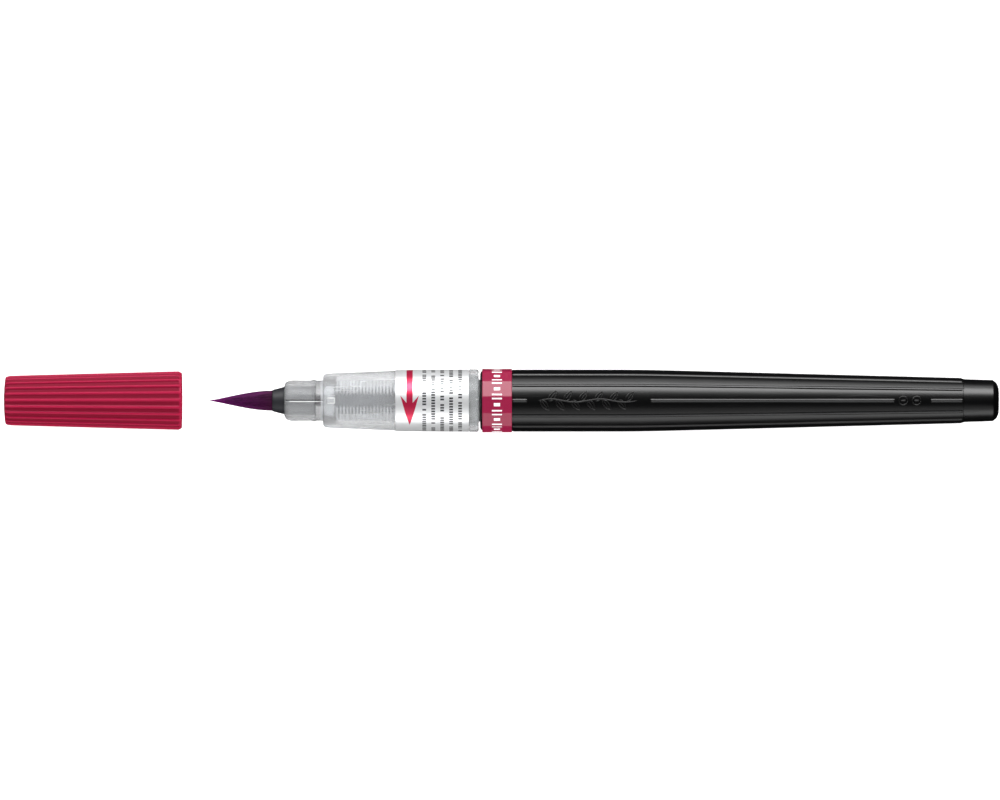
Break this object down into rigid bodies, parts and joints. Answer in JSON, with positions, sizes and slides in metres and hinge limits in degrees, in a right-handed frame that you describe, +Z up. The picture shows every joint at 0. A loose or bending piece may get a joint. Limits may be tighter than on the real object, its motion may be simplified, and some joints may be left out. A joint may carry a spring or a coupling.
{
  "type": "brush pen",
  "caption": "Brush pen with a squeeze barrel, a clear ribbed-feed grip, a soft nylon brush tip and a ribbed pull-off cap laid in line ahead of the tip.",
  "frame": {"origin": "point on the table under the middle of the laid-out pen and cap", "axes": "+X along the pen from the cap towards the barrel's tail, +Z up from the table, +Y across"},
  "size_m": [0.199, 0.0128, 0.0127],
  "materials": {
    "burgundy_plastic": "satin, ribbed",
    "white_plastic": "satin",
    "nylon_bristles": "fine hair, dark purple with a magenta sheen",
    "clear_plastic": "clear, slightly grey",
    "dark_plastic": "satin",
    "grey_plastic": "satin",
    "fibre_wick": "ink-soaked fibre",
    "frosted_plastic": "frosted, translucent",
    "foil_label": "silver-white foil",
    "seal_rubber": "satin",
    "black_plastic": "glossy",
    "band_plastic": "satin, faceted"
  },
  "bodies": {
    "grip": {"bristle_tuft": "nylon_bristles", "tuft_base": "nylon_bristles", "ink_guide_tube": "clear_plastic", "tip_holder": "dark_plastic", "tip_sleeve": "grey_plastic", "nose_collar": "clear_plastic", "feed_wick": "fibre_wick", "ink_collector": "grey_plastic", "grip_sleeve": "frosted_plastic", "grip_label": "foil_label", "threaded_connector": "frosted_plastic", "connector_seal_ring": "seal_rubber"},
    "cap": {"cap_shell": "burgundy_plastic", "cap_liner": "white_plastic"},
    "loose_ball": {"seal_ball": "white_plastic"},
    "barrel": {"barrel_shell": "black_plastic", "colour_band": "band_plastic", "mouth_stopper": "white_plastic"}
  },
  "joints": [
    {"name": "cap_slide", "type": "slide", "parent": "grip", "child": "cap", "axis": [1, 0, 0], "range_m": [0, 0.02795]},
    {"name": "barrel_travel", "type": "slide", "parent": "grip", "child": "loose_ball", "axis": [1, 0, 0], "range_m": [0, 0.00401]},
    {"name": "barrel_turn", "type": "hinge", "parent": "loose_ball", "child": "barrel", "pos_m": [-0.00422, 0, 0.00636], "axis": [-1, 0, 0], "range_deg": [0, 720]}
  ],
  "couplings": [
    {"joint": "barrel_travel", "follows": "barrel_turn", "m_per_rad": 0.00031831}
  ]
}
